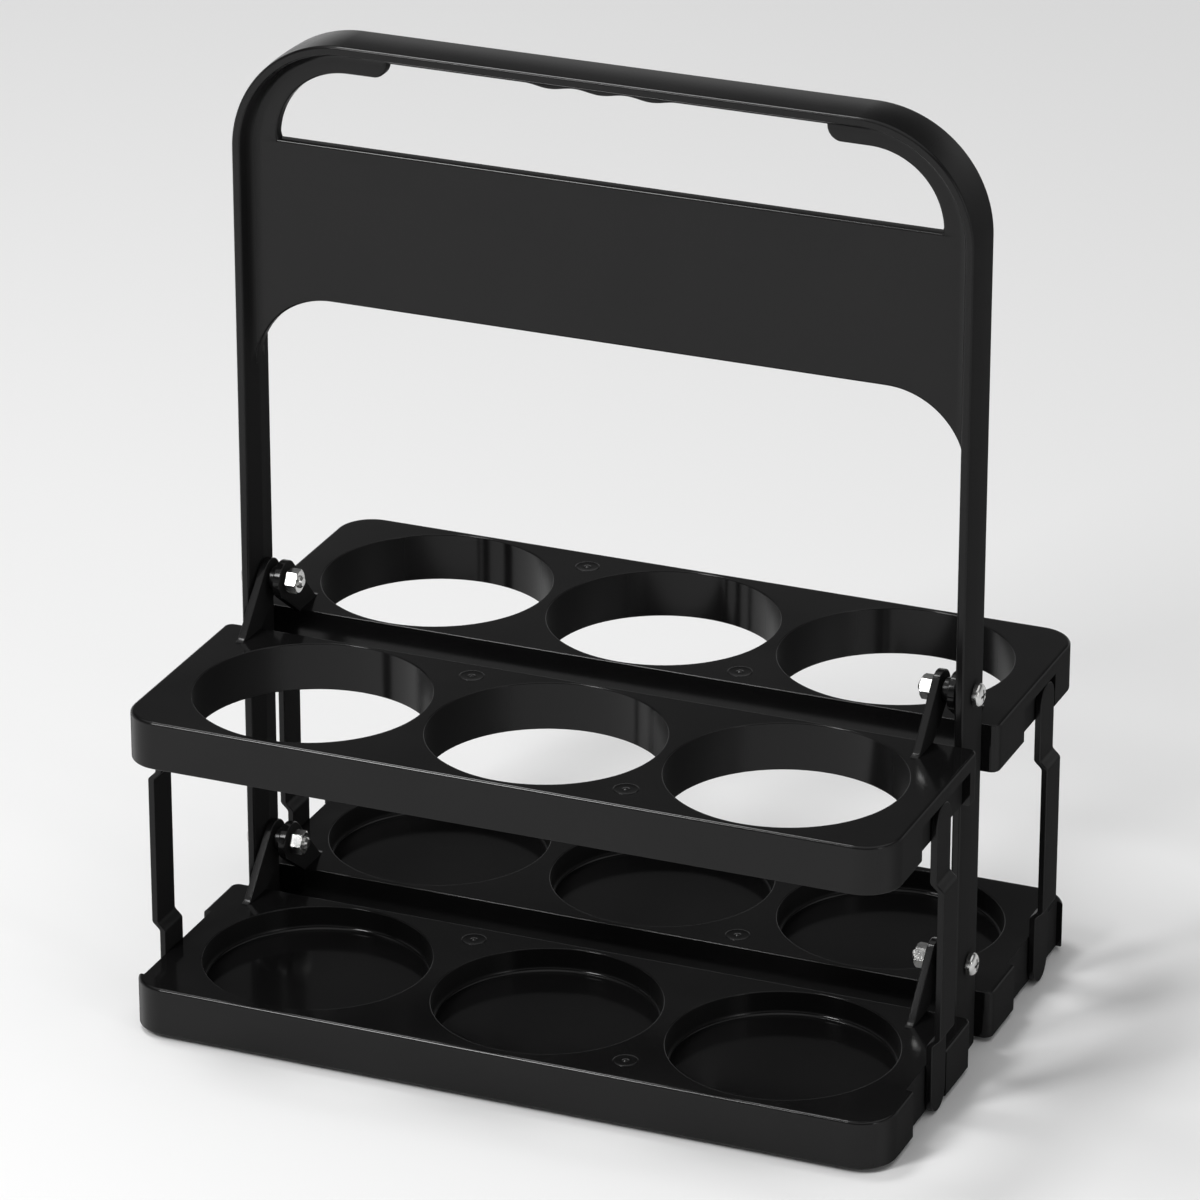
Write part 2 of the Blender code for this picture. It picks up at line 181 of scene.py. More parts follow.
def skinned(name, **amounts):
    """A material whose roughness and bump come from the node group, with its shader and haze."""
    material = bpy.data.materials.new(name)
    material.use_nodes = True
    tree = material.node_tree
    shader = tree.nodes["Principled BSDF"]
    where = tree.nodes.new("ShaderNodeTexCoord").outputs
    group = add_node(tree, "ShaderNodeGroup", node_tree=skin, Vector=where["Object"],
                     Facing=where["Normal"], **amounts)
    bump = add_node(tree, "ShaderNodeBump", Distance=1.0, Height=group.outputs["Height"])
    tree.links.new(group.outputs["Roughness"], shader.inputs["Roughness"])
    tree.links.new(bump.outputs["Normal"], shader.inputs["Normal"])
    return material, shader, group.outputs["Haze"]


def make_plastic(name, roughness, end_roughness, spread, sink_depth):
    material, shader, haze = skinned(name, Sink_Depth=sink_depth, Roughness=roughness,
                                     End_Roughness=end_roughness, Roughness_Spread=spread)
    tree = material.node_tree
    mix = add_node(tree, "ShaderNodeMix", data_type="RGBA", A=DARK, B=LIGHT, Factor=haze)
    tree.links.new(mix.outputs["Result"], shader.inputs["Base Color"])
    shader.inputs["Specular IOR Level"].default_value = PLASTIC_SHEEN
    return material


frame_plastic = make_plastic("frame_black", 0.17, 1.0, 0.10, 0.030 * MM)
tray_plastic = make_plastic("tray_black", 0.12, 1.0, 0.08, 0.035 * MM)
strut_plastic = make_plastic("strut_black", 0.20, 1.0, 0.10, 0.025 * MM)
spacer_plastic = make_plastic("spacer_black", 0.20, 0.40, 0.05, 0.010 * MM)
print("plastics:", frame_plastic.name, tray_plastic.name, strut_plastic.name, spacer_plastic.name)

# %% [markdown]
# ## Zinc plated steel
# Screws and nuts are bright zinc plate. It is a metal, so its colour tints its reflection, and
# the plating bath leaves it a little cloudy. Turned rings would be too small to see here.
# %% Make the steel
STEEL_COLOURS = ((0.50, 0.51, 0.52, 1.0), (0.80, 0.79, 0.76, 1.0))


def make_steel(name):
    material, shader, haze = skinned(name, Sink_Size=1.6 * MM, Sink_Depth=0.012 * MM,
                                     Grain_Size=0.25 * MM, Grain_Depth=0.0012 * MM,
                                     Roughness=0.24, End_Roughness=0.24, Roughness_Spread=0.18)
    tree = material.node_tree
    ramp = add_node(tree, "ShaderNodeValToRGB", Fac=haze)
    for element, colour in zip(ramp.color_ramp.elements, STEEL_COLOURS):
        element.color = colour
    tree.links.new(ramp.outputs["Color"], shader.inputs["Base Color"])
    shader.inputs["Metallic"].default_value = 1.0
    return material


steel = make_steel("bright_zinc")
print("metal:", steel.name)

# %% [markdown]
# ## Outlines
# Nearly every moulding here is a thick plate with an outline and holes. An outline is a closed
# list of points that runs anticlockwise. Moving each corner inwards by the same distance keeps
# the sides parallel, and a few such moves, each a little further up, make a rounded edge.
# %% Points of an outline
def arc(centre, radius, start, end, steps):
    """Points round part of a circle, with both ends, angles in degrees."""
    turn = [math.radians(start + (end - start) * step / steps) for step in range(steps + 1)]
    return [Vector((centre[0] + radius * math.cos(a), centre[1] + radius * math.sin(a))) for a in turn]


def circle(centre, radius, steps=96):
    return arc(centre, radius, 0, 360, steps)[:-1]


def rectangle(x_low, y_low, x_high, y_high):
    corners = ((x_low, y_low), (x_high, y_low), (x_high, y_high), (x_low, y_high))
    return [Vector(corner) for corner in corners]


def moved_in(points, distances):
    """Each corner moves inwards, or outwards for a negative distance, and the sides stay parallel."""
    moved = []
    count = len(points)
    for index in range(count):
        here = points[index]
        first = (here - points[index - 1]).normalized()
        second = (points[(index + 1) % count] - here).normalized()
        inward = Vector((-first.y - second.y, first.x + second.x)).normalized()
        share = inward.dot(Vector((-first.y, first.x)))
        moved.append(here + inward * (distances[index] / share))
    return moved


print("a circle has", len(circle((0, 0), 1.0)), "points")

# %% [markdown]
# ## A plate with rounded edges and holes
# The outline is laid down ring by ring from the lower face to the upper one, and each hole too.
# The two flat faces are then filled round the holes. A hole with a floor becomes a cup. Building
# the rounding in from the start gives clean, even faces, which a bevel on a cut mesh seldom does.
# %% Build a plate
WELD = 1e-7


def add_object(name, data):
    thing = bpy.data.objects.new(name, data)
    bpy.context.collection.objects.link(thing)
    return thing


def closed_object(name, bm):
    """An object from built faces, all turned outward."""
    bmesh.ops.recalc_face_normals(bm, faces=bm.faces)
    mesh = bpy.data.meshes.new(name)
    bm.to_mesh(mesh)
    bm.free()
    return add_object(name, mesh)


def quarter_turn(steps):
    return [math.pi / 2 * step / steps for step in range(steps + 1)]


def edge_levels(low_round, high_round, steps=5):
    """(inset, height above low, height below high) from the lower face to the upper one."""
    turn = quarter_turn(steps)
    lower = [(low_round * (1 - math.sin(a)), low_round * (1 - math.cos(a)), None) for a in turn]
    return lower + [(high_round * (1 - math.cos(a)), None, high_round * (1 - math.sin(a))) for a in turn]


def lay_ring(bm, points, shares, level, low, high, place):
    """One ring of corners. A share below 1 makes the rounding smaller at that corner."""
    inset, above, below = level
    moved = moved_in(points, [inset * share for share in shares])
    ring = []
    for point, share in zip(moved, shares):
        height = low + above * share if below is None else high - below * share
        ring.append(bm.verts.new(place(point.x, point.y, height)))
    return ring, moved


def join_rings(bm, first, second):
    count = len(first)
    for index in range(count):
        after = (index + 1) % count
        bm.faces.new((first[index], first[after], second[after], second[index]))


def fill_face(bm, loops):
    """Fills the flat face between an outline and its holes, given as (ring, outline) pairs."""
    flats = [[Vector((point.x / MM, point.y / MM, 0)) for point in outline] for ring, outline in loops]
    corners = [vertex for ring, outline in loops for vertex in ring]
    for triangle in tessellate_polygon(flats):
        bm.faces.new([corners[index] for index in triangle])


PLACES = {
    "X": lambda u, v, w: (w, u, v),
    "Y": lambda u, v, w: (u, w, v),
    "Z": lambda u, v, w: (u, v, w),
}


def wall(bm, points, shares, levels, low, high, place):
    """Rings joined into a wall. Gives back the first ring and the last one, each with its outline."""
    first, last = None, None
    for level in levels:
        ring = lay_ring(bm, points, shares, level, low, high, place)
        if last:
            join_rings(bm, last[0], ring[0])
        first, last = first or ring, ring
    return first, last


def plate(name, outline, low, high, rounds=(0, 0), holes=(), shares=None, along="Z"):
    """A closed plate. Each hole is (points, (low rounding, high rounding)), or for a cup
    (points, (floor rounding, rim rounding), floor height)."""
    place = PLACES[along]
    bm = bmesh.new()
    shares = shares or [1.0] * len(outline)
    bottom, top = wall(bm, outline, shares, edge_levels(*rounds), low, high, place)
    bottoms, tops = [bottom], [top]
    for points, hole_rounds, *floor in holes:
        base = floor[0] if floor else low
        levels = []
        for inset, above, below in edge_levels(*hole_rounds):
            shrinks = floor and below is None
            levels.append((inset if shrinks else -inset, above, below))
        bottom, top = wall(bm, points, [1.0] * len(points), levels, base, high, place)
        if floor:
            bm.faces.new(bottom[0])
        else:
            bottoms.append(bottom)
        tops.append(top)
    fill_face(bm, tops)
    fill_face(bm, bottoms)
    bmesh.ops.remove_doubles(bm, verts=bm.verts, dist=WELD)
    return closed_object(name, bm)


trial = plate("trial", circle((0, 0), 5 * MM), 0, 2 * MM, (0.4 * MM, 0.4 * MM))
print("a trial disc has", len(trial.data.polygons), "faces")
bpy.data.objects.remove(trial, do_unlink=True)

# %% [markdown]
# ## Cutting, joining and finishing
# Recesses are cut and arms are joined with Boolean modifiers, as a mould maker cuts them into the
# steel. At the end each piece is shaded smooth, its true corners are marked sharp, and its normals
# are weighted by face area, so that the large flat faces stay flat beside their rounded edges.
# %% Cut, join and finish
SHARP_ANGLE = math.radians(32)
MERGE = 1e-6


def applied(thing):
    """The object's mesh with its modifiers worked in."""
    bpy.context.view_layer.update()
    graph = bpy.context.evaluated_depsgraph_get()
    mesh = bpy.data.meshes.new_from_object(thing.evaluated_get(graph))
    thing.modifiers.clear()
    thing.data = mesh
    return thing


def combine(thing, tools, operation):
    for tool in tools:
        tool.hide_render = True
        step = thing.modifiers.new("shape", "BOOLEAN")
        step.operation = operation
        step.solver = "EXACT"
        step.object = tool
    applied(thing)
    for tool in tools:
        bpy.data.objects.remove(tool, do_unlink=True)
    return thing


def finished(thing, material):
    """Smooth faces, sharp corners, weighted normals and one material."""
    bm = bmesh.new()
    bm.from_mesh(thing.data)
    bmesh.ops.remove_doubles(bm, verts=bm.verts, dist=MERGE)
    bmesh.ops.dissolve_degenerate(bm, edges=bm.edges, dist=MERGE)
    open_edges = sum(1 for edge in bm.edges if len(edge.link_faces) != 2)
    bm.to_mesh(thing.data)
    bm.free()
    thing.data.shade_smooth()
    thing.data.set_sharp_from_angle(angle=SHARP_ANGLE)
    weight = thing.modifiers.new("flat faces stay flat", "WEIGHTED_NORMAL")
    weight.keep_sharp = True
    applied(thing)
    thing.data.materials.clear()
    thing.data.materials.append(material)
    print(thing.name, "has", len(thing.data.polygons), "faces and", open_edges, "open edges")
    return thing


def put(thing, half_turn, shift):
    """Turns and moves the mesh itself, so that the object stays at the origin."""
    if half_turn:
        thing.data.transform(Matrix.Rotation(math.pi, 4, "Z"))
    thing.data.transform(Matrix.Translation(shift))
    return thing


def twin(thing, name):
    return add_object(name, thing.data.copy())


# %% [markdown]
# ## Outline of a tray
# Seen from above a tray is a rectangle with wide corners outside and tight ones beside the posts.
# Its top edge is well rounded outside, where hands meet it. Along the frame the hole leaves a rim
# only 1.2 mm wide, so the rounding there is much smaller. A share for each corner point says how
# much of the full rounding it gets.
# %% Tray outline
TRAY_HEIGHT = 16.0 * MM
TRAY_TOP = 2.2 * MM
TRAY_WALL = 2.0 * MM
OUTER_CORNER_R = 12.0 * MM
INNER_CORNER_R = 3.0 * MM
TOP_ROUND = 1.1 * MM
FOOT_ROUND = 0.5 * MM
RIM_ROUND = 0.4 * MM
INSIDE_SHARE = 0.3
deck = -AXIS_RISE
bottom = deck - TRAY_HEIGHT


def tray_outline(inset):
    side = TRAY_END - inset
    back = -TRAY_INSIDE - inset
    front = -TRAY_OUTSIDE + inset
    tight = INNER_CORNER_R - inset / 2
    wide = OUTER_CORNER_R - inset
    points = arc((side - tight, back - tight), tight, 0, 90, 8)
    points += arc((tight - side, back - tight), tight, 90, 180, 8)
    points += arc((wide - side, front + wide), wide, 180, 270, 20)
    points += arc((side - wide, front + wide), wide, 270, 360, 20)
    return points


def tray_shares(points):
    """Full rounding outside, little along the frame, and an even change between."""
    depths = [min(max((-TRAY_INSIDE - point.y) / INNER_CORNER_R, 0.0), 1.0) for point in points]
    return [INSIDE_SHARE + (1 - INSIDE_SHARE) * depth for depth in depths]


print("a tray outline has", len(tray_outline(0)), "points")

# %% [markdown]
# ## Hinge arms
# Each tray hangs on two flat arms that grow out of its deck and end in an eye on the hinge screw.
# The outline starts at the deck, sweeps up in a hollow curve, follows a tangent to the eye, goes
# round it and comes back down by the frame. The tangent points are worked out, not guessed, so
# the arm flows into its eye without a kink.
# %% Arm outline
ARM_THICKNESS = 2.6 * MM
ARM_EYE_R = 6.3 * MM
ARM_FOOT = 11.6 * MM
ARM_FOOT_FILLET_R = 5.0 * MM
ARM_SETBACK = 0.4 * MM
ARM_ROUND = 0.4 * MM
EYE_ROUND = 0.15 * MM
EYE_BORE_R = SCREW_R + SEAT_GAP


def touch_point(point, radius, side):
    """Where a line from the point touches the circle round the hinge axis."""
    distance = math.hypot(*point)
    bearing = math.atan2(point[1], point[0])
    angle = bearing + side * math.acos(radius / distance)
    return Vector((radius * math.cos(angle), radius * math.sin(angle)))


def hollow_corner(corner, first, second, radius, steps):
    """A concave arc that joins two directions leaving a corner."""
    half = first.angle(second) / 2
    middle = corner + (first + second).normalized() * (radius / math.sin(half))
    start = corner + first * (radius / math.tan(half)) - middle
    end = corner + second * (radius / math.tan(half)) - middle
    sweep = start.angle_signed(end)
    return [middle + Matrix.Rotation(-sweep * step / steps, 2) @ start for step in range(steps + 1)]


def arm_outline():
    inside = -(TRAY_INSIDE + ARM_SETBACK)
    outside = inside - ARM_FOOT
    buried = deck - TRAY_TOP / 2
    outer_touch = touch_point((outside, deck), ARM_EYE_R, -1)
    inner_touch = touch_point((inside, deck), ARM_EYE_R, 1)
    foot = Vector((outside, deck))
    root = hollow_corner(foot, Vector((-1, 0)), (outer_touch - foot).normalized(), ARM_FOOT_FILLET_R, 10)
    start = math.degrees(math.atan2(outer_touch.y, outer_touch.x))
    end = math.degrees(math.atan2(inner_touch.y, inner_touch.x))
    while end > start:
        end -= 360
    eye = arc((0, 0), ARM_EYE_R, start, end, 48)
    points = [Vector((root[0].x, buried))] + root + eye + [Vector((inside, buried))]
    return points[::-1]


print("an arm outline has", len(arm_outline()), "points")

# %% [markdown]
# ## Recesses for the struts
# Flat struts tie each upper tray to the lower one under it, and they lie in recesses in the tray
# ends. An upper recess is closed above by the deck, and a lower one is open at the top, because
# the strut comes down into it. Each recess has a wall behind it with a hole for the strut's pin.
# %% Strut recess tools
NEAR_STRUT_Y = 39.0 * MM
FAR_STRUT_Y = 57.0 * MM
STRUT_END_R = 6.25 * MM
STRUT_THICKNESS = 2.2 * MM
STRUT_PIVOT_DROP = 11.2 * MM
SWING_GAP = 0.4 * MM
CRANK_START = 18.0 * MM
CRANK_LENGTH = 3.5 * MM
UPPER_POCKET_REACH = 19.8 * MM
LOWER_POCKET_REACH = 26.0 * MM
PIN_R = 2.5 * MM
strut_inner = TRAY_END - STRUT_THICKNESS
pocket_floor = strut_inner - SWING_GAP
pocket_back = pocket_floor - TRAY_WALL
swing_reach = math.hypot(CRANK_START + CRANK_LENGTH, STRUT_END_R) + SWING_GAP
end_reach = STRUT_END_R + SWING_GAP


def block(x_pair, y_pair, z_pair):
    x_low, x_high = sorted(x_pair)
    return plate("block", rectangle(x_low, y_pair[0], x_high, y_pair[1]), *z_pair)


def recess_tools(cups):
    """The cutting blocks, the blocks that keep a wall behind them, and the pin hole cutters."""
    pivot_z = deck - STRUT_PIVOT_DROP
    pockets, backs, pin_holes = [], [], []
    for side, pivot_y in ((1, NEAR_STRUT_Y), (-1, FAR_STRUT_Y)):
        inward = LOWER_POCKET_REACH if pivot_y == FAR_STRUT_Y else end_reach
        outward = swing_reach
        roof = deck + OVERRUN
        if not cups:
            inward = swing_reach
            outward = UPPER_POCKET_REACH if pivot_y == NEAR_STRUT_Y else end_reach
            roof = pivot_z + end_reach
        y_low = -pivot_y - outward
        y_high = -pivot_y + inward
        outer = side * (TRAY_END + OVERRUN)
        pockets.append(block((side * pocket_floor, outer), (y_low, y_high), (bottom - OVERRUN, roof)))
        wide = (y_low - TRAY_WALL, y_high + TRAY_WALL)
        backs.append(block((side * pocket_back, outer), wide, (bottom - 2 * OVERRUN, deck)))
        x_low, x_high = sorted((side * (pocket_back - OVERRUN), side * (pocket_floor + OVERRUN)))
        hole = circle((-pivot_y, pivot_z), PIN_R + SEAT_GAP, BORE_STEPS)
        pin_holes.append(plate("pin_hole", hole, x_low, x_high, along="X"))
    return pockets, backs, pin_holes


print("a strut needs", round(swing_reach / MM, 1), "mm of recess on the side that it swings to")

# %% [markdown]
# ## A tray
# The upper trays have round holes that hold the bottles, with a collar round each hole below. The
# lower trays have shallow cups in their place. The deck is laid out in one plate with its holes
# or cups, the underside is cut hollow so that only thin walls stay, and the arms are joined on.
# The hinge axis runs along X through the origin while a tray is made, as on the drawing.
# %% Make a tray
HOLE_R = 37.5 * MM
CUP_R = 36.5 * MM
CUP_DEPTH = 8.0 * MM
CUP_FLOOR = 2.0 * MM
CUP_FLOOR_ROUND = 1.6 * MM
COLLAR_WALL = 2.3 * MM
HOLE_PITCH = 79.0 * MM
HOLE_ROW = 48.0 * MM
ARM_STARTS = ((1, 109.6 * MM), (-1, 115.1 * MM))
hole_centres = [(HOLE_PITCH * number, -HOLE_ROW) for number in (-1, 0, 1)]


def hollow_tools(cups, backs):
    """What is cut from below: everything inside the walls but the collars or cups."""
    hollow = plate("hollow", tray_outline(TRAY_WALL), bottom - OVERRUN, deck - TRAY_TOP)
    ring_r = (CUP_R if cups else HOLE_R) + COLLAR_WALL
    low = deck - CUP_DEPTH - CUP_FLOOR if cups else bottom - 2 * OVERRUN
    for centre in hole_centres:
        combine(hollow, [plate("collar", circle(centre, ring_r), low, deck)], "DIFFERENCE")
    return combine(hollow, backs, "DIFFERENCE")


def make_tray(name, cups):
    outline = tray_outline(0)
    cup_shape = ((CUP_FLOOR_ROUND, RIM_ROUND), deck - CUP_DEPTH)
    radius, shape = (CUP_R, cup_shape) if cups else (HOLE_R, ((RIM_ROUND, RIM_ROUND),))
    holes = [(circle(centre, radius), *shape) for centre in hole_centres]
    tray = plate(name, outline, bottom, deck, (FOOT_ROUND, TOP_ROUND), holes, tray_shares(outline))
    pockets, backs, pin_holes = recess_tools(cups)
    combine(tray, [hollow_tools(cups, backs)], "DIFFERENCE")
    combine(tray, pockets, "DIFFERENCE")
    combine(tray, pin_holes, "DIFFERENCE")
    arms = []
    eye = (circle((0, 0), EYE_BORE_R, BORE_STEPS), (EYE_ROUND, EYE_ROUND))
    for side, start in ARM_STARTS:
        low, high = sorted((side * start, side * (start + ARM_THICKNESS)))
        arms.append(plate("arm", arm_outline(), low, high, (ARM_ROUND, ARM_ROUND), [eye], along="X"))
    combine(tray, arms, "UNION")
    return finished(tray, tray_plastic)


upper_front_tray = make_tray("upper_front_tray_moulding", False)
lower_front_tray = make_tray("lower_front_tray_moulding", True)

# %% [markdown]
# The back trays are the front ones turned half round, so their arms fall inside at one end and
# outside at the other and interleave with the front ones on the same screws.
# %% Place the four trays
trays = {
    "upper_front": upper_front_tray,
    "upper_back": twin(upper_front_tray, "upper_back_tray_moulding"),
    "lower_front": lower_front_tray,
    "lower_back": twin(lower_front_tray, "lower_back_tray_moulding"),
}
for body, tray in trays.items():
    height = UPPER_AXIS if body.startswith("upper") else LOWER_AXIS
    put(tray, body.endswith("back"), (0, 0, height))
    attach(tray, body)
    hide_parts(body + "_tray")
print("trays placed:", ", ".join(trays))

# %% [markdown]
# ## Struts
# A strut is a flat bar with round ends and a moulded pin at each end. It steps outwards twice, so
# that it passes clear of the tray ends. A straight bar is made first, rows of faces are sliced
# into it where it bends, and each point is then pushed out by the amount for its height.
# %% Make a strut
PIN_TIP = pocket_back - 0.8 * MM
PIN_ROUND = 0.4 * MM
STRUT_ROUNDS = (0.35 * MM, 0.5 * MM)
CRANK_SLICES = 12
STRUT_PLACES = (
    ("front", "right", -NEAR_STRUT_Y),
    ("back", "right", FAR_STRUT_Y),
    ("front", "left", -FAR_STRUT_Y),
    ("back", "left", NEAR_STRUT_Y),
)
crank_shift = STRUT_THICKNESS + SWING_GAP
pivot_height = UPPER_AXIS - AXIS_RISE - STRUT_PIVOT_DROP


def crank_share(z):
    """0 beside the trays and 1 between them, easing in and out over each step."""
    depth = min(-z, z + TIER_SPACING)
    share = (depth - CRANK_START) / CRANK_LENGTH
    share = min(max(share, 0.0), 1.0)
    return share * share * (3 - 2 * share)


def make_strut(name):
    outline = arc((0, 0), STRUT_END_R, 0, 180, 40)
    outline += arc((0, -TIER_SPACING), STRUT_END_R, 180, 360, 40)
    bar = plate(name, outline, strut_inner, TRAY_END, STRUT_ROUNDS, along="X")
    bm = bmesh.new()
    bm.from_mesh(bar.data)
    for step in range(CRANK_SLICES + 1):
        depth = CRANK_START + CRANK_LENGTH * step / CRANK_SLICES
        for z in (-depth, depth - TIER_SPACING):
            everything = bm.verts[:] + bm.edges[:] + bm.faces[:]
            bmesh.ops.bisect_plane(bm, geom=everything, dist=WELD, plane_co=(0, 0, z), plane_no=(0, 0, 1))
    for vertex in bm.verts:
        vertex.co.x += crank_shift * crank_share(vertex.co.z)
    bm.to_mesh(bar.data)
    bm.free()
    pins = []
    for z in (0, -TIER_SPACING):
        pin = circle((0, z), PIN_R, BORE_STEPS)
        root = strut_inner + STRUT_THICKNESS / 2
        pins.append(plate("pin", pin, PIN_TIP, root, (PIN_ROUND, 0), along="X"))
    combine(bar, pins, "UNION")
    return finished(bar, strut_plastic)


pattern = make_strut("strut_pattern")
for side, end, y in STRUT_PLACES:
    node = side + "_" + end + "_strut"
    strut = put(twin(pattern, node + "_bar"), end == "left", (0, y, pivot_height))
    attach(strut, "strut_" + side + "_" + end)
    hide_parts(node)
bpy.data.objects.remove(pattern, do_unlink=True)
print("struts placed:", len(STRUT_PLACES))

# %% [markdown]
# ## The band of the carrying frame
# One band of plastic, 18 mm deep and 4 mm thick, runs up a post, over the grip and down the other
# post. It could be extruded and bevelled, but a path with a profile says better what it is, so
# Geometry Nodes make it: the path's corners are filleted, and so are those of the profile that is
# drawn along it. The profile's inner side leans back towards both rims, because a mould can't let
# go of a straight wall, and its outer side is a little crowned. Each size is a named input.
# %% Geometry Nodes for the band
def close_tree(tree, geometry, material):
    """Every tree ends the same way: real faces, one material and the way out."""
    real = add_node(tree, "GeometryNodeRealizeInstances", Geometry=geometry)
    paint = add_node(tree, "GeometryNodeSetMaterial", Geometry=real.outputs["Geometry"], Material=material)
    tree.links.new(paint.outputs["Geometry"], tree.nodes.new("NodeGroupOutput").inputs[0])
    print("tree", tree.name, "has", len(tree.nodes), "nodes")


TOP_CORNER_R = 38.0 * MM
BAND_SIZES = {
    "Corner Radius": TOP_CORNER_R - FLANGE / 2,
    "Thickness": FLANGE,
    "Depth": FRAME_DEPTH,
    "Rim Draft": RIM_DRAFT,
    "Crown": 0.3 * MM,
    "Edge Radius": 1.0 * MM,
}
band = bpy.data.node_groups.new("band_on_a_path", "GeometryNodeTree")
add_socket(band, "Geometry", "Geometry")
for name, size in BAND_SIZES.items():
    add_socket(band, name, "Float", size)
add_socket(band, "Material", "Material")
add_socket(band, "Geometry", "Geometry", in_out="OUTPUT")

given = band.nodes.new("NodeGroupInput").outputs
path = add_node(band, "GeometryNodeMeshToCurve", Mesh=given["Geometry"])
bend = add_node(band, "GeometryNodeFilletCurve", mode="POLY", Curve=path.outputs["Curve"],
                Radius=given["Corner Radius"], Count=36)
section = add_node(band, "GeometryNodeCurvePrimitiveQuadrilateral", Width=given["Thickness"],
                   Height=given["Depth"])
soften = add_node(band, "GeometryNodeFilletCurve", mode="POLY", Curve=section.outputs["Curve"],
                  Radius=given["Edge Radius"], Count=4)
refine = add_node(band, "GeometryNodeSubdivideCurve", Curve=soften.outputs["Curve"], Cuts=3)

place = band.nodes.new("GeometryNodeInputPosition").outputs["Position"]
spot = add_node(band, "ShaderNodeSeparateXYZ", Vector=place).outputs
inner = add_math(band, "ADD", add_math(band, "DIVIDE", spot["X"], given["Thickness"]), 0.5)
outer = add_math(band, "SUBTRACT", 1.0, inner)
reach = add_math(band, "DIVIDE", add_math(band, "ABSOLUTE", spot["Y"]), given["Depth"])
reach = add_math(band, "MULTIPLY", reach, 2.0)
draft = add_math(band, "MULTIPLY", add_math(band, "MULTIPLY", inner, reach), given["Rim Draft"])
bulge = add_math(band, "MULTIPLY", reach, reach)
crown = add_math(band, "MULTIPLY", add_math(band, "MULTIPLY", outer, bulge), given["Crown"])
shift = add_node(band, "ShaderNodeCombineXYZ", X=add_math(band, "SUBTRACT", crown, draft))
form = add_node(band, "GeometryNodeSetPosition", Geometry=refine.outputs["Curve"],
                Offset=shift.outputs["Vector"])
sweep = add_node(band, "GeometryNodeCurveToMesh", Curve=bend.outputs["Curve"],
                 Profile_Curve=form.outputs["Geometry"], Fill_Caps=True)
close_tree(band, sweep.outputs["Mesh"], given["Material"])

# %% [markdown]
# The tree's inputs are set by their identifiers on the modifier, and the result becomes a plain
# mesh at once. The path has only four points: both feet and both upper corners.
# %% Make the band
def grown(name, points, edges, tree, values):
    """A mesh of points and edges, grown by a tree whose inputs are given by name."""
    mesh = bpy.data.meshes.new(name)
    mesh.from_pydata(points, edges, [])
    thing = add_object(name, mesh)
    modifier = thing.modifiers.new(tree.name, "NODES")
    modifier.node_group = tree
    for item in tree.interface.items_tree:
        if item.item_type == "SOCKET" and item.in_out == "INPUT" and item.name in values:
            modifier[item.identifier] = values[item.name]
    return applied(thing)


middle = HALF_WIDTH - FLANGE / 2
crown = FRAME_HEIGHT - FLANGE / 2
path_points = [(-middle, 0, 0), (-middle, 0, crown), (middle, 0, crown), (middle, 0, 0)]
path_edges = [(0, 1), (1, 2), (2, 3)]
band_values = {**BAND_SIZES, "Material": frame_plastic}
carrying_frame = grown("carrying_frame_moulding", path_points, path_edges, band, band_values)
print("band:", [round(side / MM, 1) for side in carrying_frame.dimensions], "mm")

# %% [markdown]
# ## The panel and the hand hole
# A web in the middle of the band closes its upper part. Below the hand hole it is a wide panel,
# and above it only a strip stays under the grip, with three waves for the fingers. The web is a
# plate along Y with the hand hole in it, and the rounding of its edges catches the light.
# %% Web outline and hand hole
WEB = 4.0 * MM
PANEL_TOP = 272.5 * MM
PANEL_BOTTOM = 221.0 * MM
PANEL_FILLET_R = 26.0 * MM
HAND_SIDE_WEB = 8.6 * MM
TONGUE_DROP = 7.4 * MM
TONGUE_REACH = 50.2 * MM
TONGUE_END_R = 4.85 * MM
ROOT_R = 0.2 * MM
GRIP_WEB = 2.3 * MM
FINGER_DROP = 1.0 * MM
FINGER_PITCH = 16.7 * MM
FINGER_SHIFT = -1.5 * MM
FOOT_ANGLE = 4.0
FOOT_FLAT = 0.5 * MM
WAVE_STEPS = 48
WEB_ROUND = 0.9 * MM
bar_underside = FRAME_HEIGHT - FLANGE


def finger_line(x, base):
    """Height of the strip's lower edge with its row of three waves."""
    reach = abs(x - FINGER_SHIFT)
    if reach >= 1.5 * FINGER_PITCH:
        return base
    phase = (x - FINGER_SHIFT) / FINGER_PITCH + 1.5
    return base - FINGER_DROP * (1 - math.cos(2 * math.pi * phase)) / 2


def hand_hole():
    side = post_inside - HAND_SIDE_WEB
    ceiling = bar_underside - TONGUE_DROP
    base = bar_underside - GRIP_WEB
    tongue = HALF_WIDTH - TONGUE_REACH
    corner_r = ceiling - PANEL_TOP
    right = [Vector((side - FOOT_FLAT, PANEL_TOP))]
    right += arc((side - corner_r, PANEL_TOP), corner_r, FOOT_ANGLE, 90, 40)
    right += arc((tongue + TONGUE_END_R, ceiling + TONGUE_END_R), TONGUE_END_R, 270, 180, 12)[1:]
    right += arc((tongue - ROOT_R, base - ROOT_R), ROOT_R, 0, 90, 4)
    left = [Vector((-point.x, point.y)) for point in reversed(right)]
    shares = [1 - step / WAVE_STEPS for step in range(2 * WAVE_STEPS + 1)]
    places = [FINGER_SHIFT + 1.5 * FINGER_PITCH * share for share in shares]
    return right + [Vector((x, finger_line(x, base))) for x in places] + left


fillet_foot = PANEL_BOTTOM - PANEL_FILLET_R
fillet_reach = post_inside - PANEL_FILLET_R


